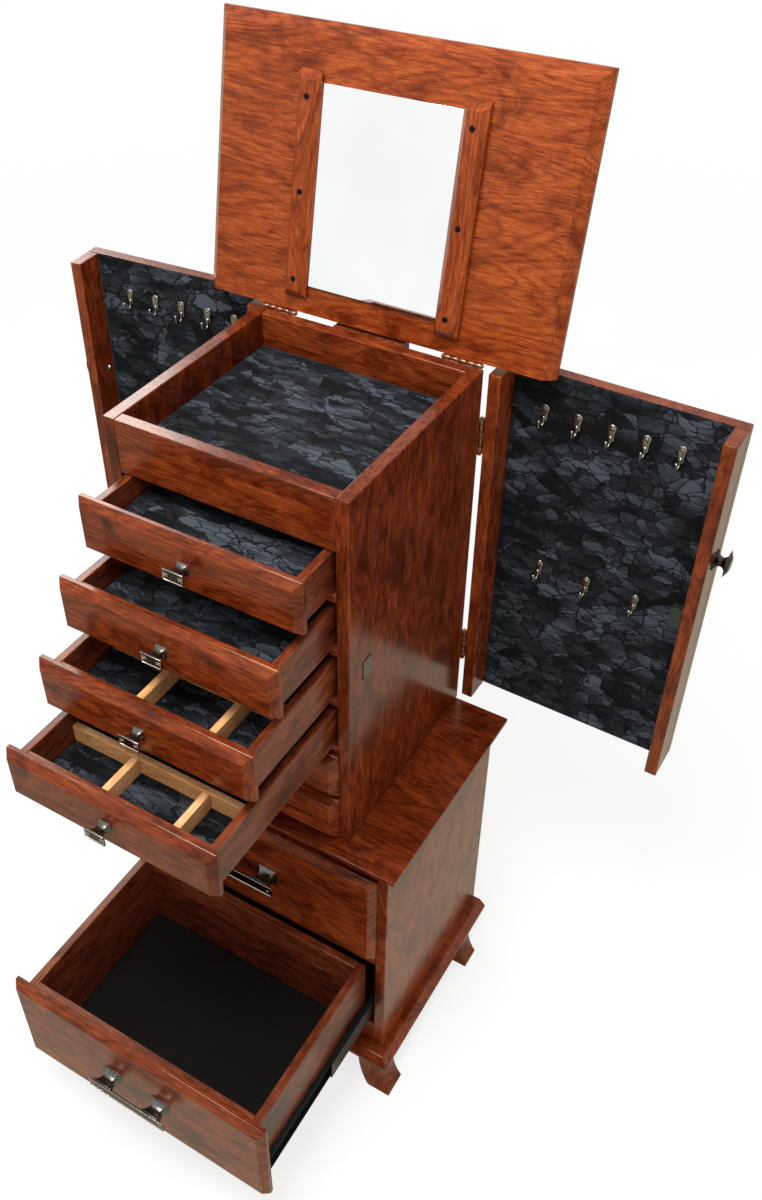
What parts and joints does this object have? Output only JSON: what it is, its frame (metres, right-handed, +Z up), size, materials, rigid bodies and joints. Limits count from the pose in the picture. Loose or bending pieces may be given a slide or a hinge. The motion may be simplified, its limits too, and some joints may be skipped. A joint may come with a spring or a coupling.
{
  "type": "jewelry armoire",
  "caption": "Free-standing wooden jewelry chest: mirrored lid, hook-lined side doors and small drawers above a two-drawer base on splayed feet.",
  "frame": {"origin": "on the floor, under the centre of the base plate", "axes": "+X to the right seen from the front, +Y to the back, +Z up"},
  "size_m": [1.1272, 0.8381, 1.6086],
  "materials": {
    "cherry_wood": "satin lacquer",
    "dark_wood": "satin stain",
    "pale_wood": "bare maple",
    "black_velvet": "crushed velvet",
    "bronze": "oil-rubbed",
    "copper_bronze": "antique",
    "black_steel": "black zinc",
    "mirror": "silvered glass"
  },
  "bodies": {
    "cabinet": {"feet": "dark_wood", "base_plate": "cherry_wood", "base_sides": "cherry_wood", "base_front_rails": "cherry_wood", "base_top_board": "cherry_wood", "back_panels": "dark_wood", "upper_sides": "cherry_wood", "tray_rails": "cherry_wood", "tray_liner": "black_velvet", "upper_inner_frame": "dark_wood", "strike_plates": "bronze", "hinge_case_halves": "copper_bronze", "slide_outer_members": "black_steel"},
    "lid": {"lid_board": "cherry_wood", "lid_hinge_leaves": "copper_bronze", "mirror_rails": "cherry_wood", "mirror_glass": "mirror", "mirror_screws": "black_steel"},
    "right_door": {"right_door_frame": "cherry_wood", "right_door_liner": "black_velvet", "right_door_hinge_leaves": "copper_bronze", "right_door_hooks": "bronze", "right_door_knob_catch": "bronze"},
    "left_door": {"left_door_frame": "cherry_wood", "left_door_liner": "black_velvet", "left_door_hinge_leaves": "copper_bronze", "left_door_hooks": "bronze", "left_door_knob_catch": "bronze"},
    "drawer_1": {"drawer_1_front": "cherry_wood", "drawer_1_box": "dark_wood", "drawer_1_pull": "bronze", "drawer_1_ring_roll": "black_velvet"},
    "drawer_2": {"drawer_2_front": "cherry_wood", "drawer_2_box": "dark_wood", "drawer_2_pull": "bronze", "drawer_2_pad": "black_velvet"},
    "drawer_3": {"drawer_3_front": "cherry_wood", "drawer_3_box": "dark_wood", "drawer_3_pull": "bronze", "drawer_3_dividers": "pale_wood"},
    "drawer_4": {"drawer_4_front": "cherry_wood", "drawer_4_box": "dark_wood", "drawer_4_pull": "bronze", "drawer_4_dividers": "pale_wood"},
    "drawer_5": {"drawer_5_front": "cherry_wood", "drawer_5_box": "dark_wood", "drawer_5_pull": "bronze"},
    "drawer_6": {"drawer_6_front": "cherry_wood", "drawer_6_box": "dark_wood", "drawer_6_pull": "bronze"},
    "upper_base_drawer": {"upper_base_drawer_front": "cherry_wood", "upper_base_drawer_box": "dark_wood", "upper_base_drawer_pull": "bronze", "upper_base_drawer_slides": "black_steel"},
    "upper_base_links": {"upper_base_slide_links": "black_steel"},
    "lower_base_drawer": {"lower_base_drawer_front": "cherry_wood", "lower_base_drawer_box": "dark_wood", "lower_base_drawer_pull": "bronze", "lower_base_drawer_slides": "black_steel"},
    "lower_base_links": {"lower_base_slide_links": "black_steel"}
  },
  "joints": [
    {"name": "lid_hinge", "type": "hinge", "parent": "cabinet", "child": "lid", "pos_m": [0, 0.2045, 1.2265], "axis": [-1, 0, 0], "range_deg": [-101, 0]},
    {"name": "right_door_hinge", "type": "hinge", "parent": "cabinet", "child": "right_door", "pos_m": [0.1885, 0.2045, 0.9135], "axis": [0, 0, 1], "range_deg": [-89, 81]},
    {"name": "left_door_hinge", "type": "hinge", "parent": "cabinet", "child": "left_door", "pos_m": [-0.1885, 0.2045, 0.9135], "axis": [0, 0, -1], "range_deg": [-86, 84]},
    {"name": "drawer_1_slide", "type": "slide", "parent": "cabinet", "child": "drawer_1", "axis": [0, -1, 0], "range_m": [-0.072, 0.208]},
    {"name": "drawer_2_slide", "type": "slide", "parent": "cabinet", "child": "drawer_2", "axis": [0, -1, 0], "range_m": [-0.131, 0.149]},
    {"name": "drawer_3_slide", "type": "slide", "parent": "cabinet", "child": "drawer_3", "axis": [0, -1, 0], "range_m": [-0.193, 0.087]},
    {"name": "drawer_4_slide", "type": "slide", "parent": "cabinet", "child": "drawer_4", "axis": [0, -1, 0], "range_m": [-0.28, 0]},
    {"name": "drawer_5_slide", "type": "slide", "parent": "cabinet", "child": "drawer_5", "axis": [0, -1, 0], "range_m": [0, 0.28]},
    {"name": "drawer_6_slide", "type": "slide", "parent": "cabinet", "child": "drawer_6", "axis": [0, -1, 0], "range_m": [0, 0.28]},
    {"name": "upper_base_drawer_slide", "type": "slide", "parent": "cabinet", "child": "upper_base_drawer", "axis": [0, -1, 0], "range_m": [0, 0.321]},
    {"name": "upper_base_link_slide", "type": "slide", "parent": "cabinet", "child": "upper_base_links", "axis": [0, -1, 0], "range_m": [0, 0.1605]},
    {"name": "lower_base_drawer_slide", "type": "slide", "parent": "cabinet", "child": "lower_base_drawer", "axis": [0, -1, 0], "range_m": [-0.321, 0]},
    {"name": "lower_base_link_slide", "type": "slide", "parent": "cabinet", "child": "lower_base_links", "axis": [0, -1, 0], "range_m": [-0.1605, 0]}
  ],
  "couplings": [
    {"joint": "upper_base_link_slide", "follows": "upper_base_drawer_slide", "ratio": 0.5},
    {"joint": "lower_base_link_slide", "follows": "lower_base_drawer_slide", "ratio": 0.5}
  ]
}
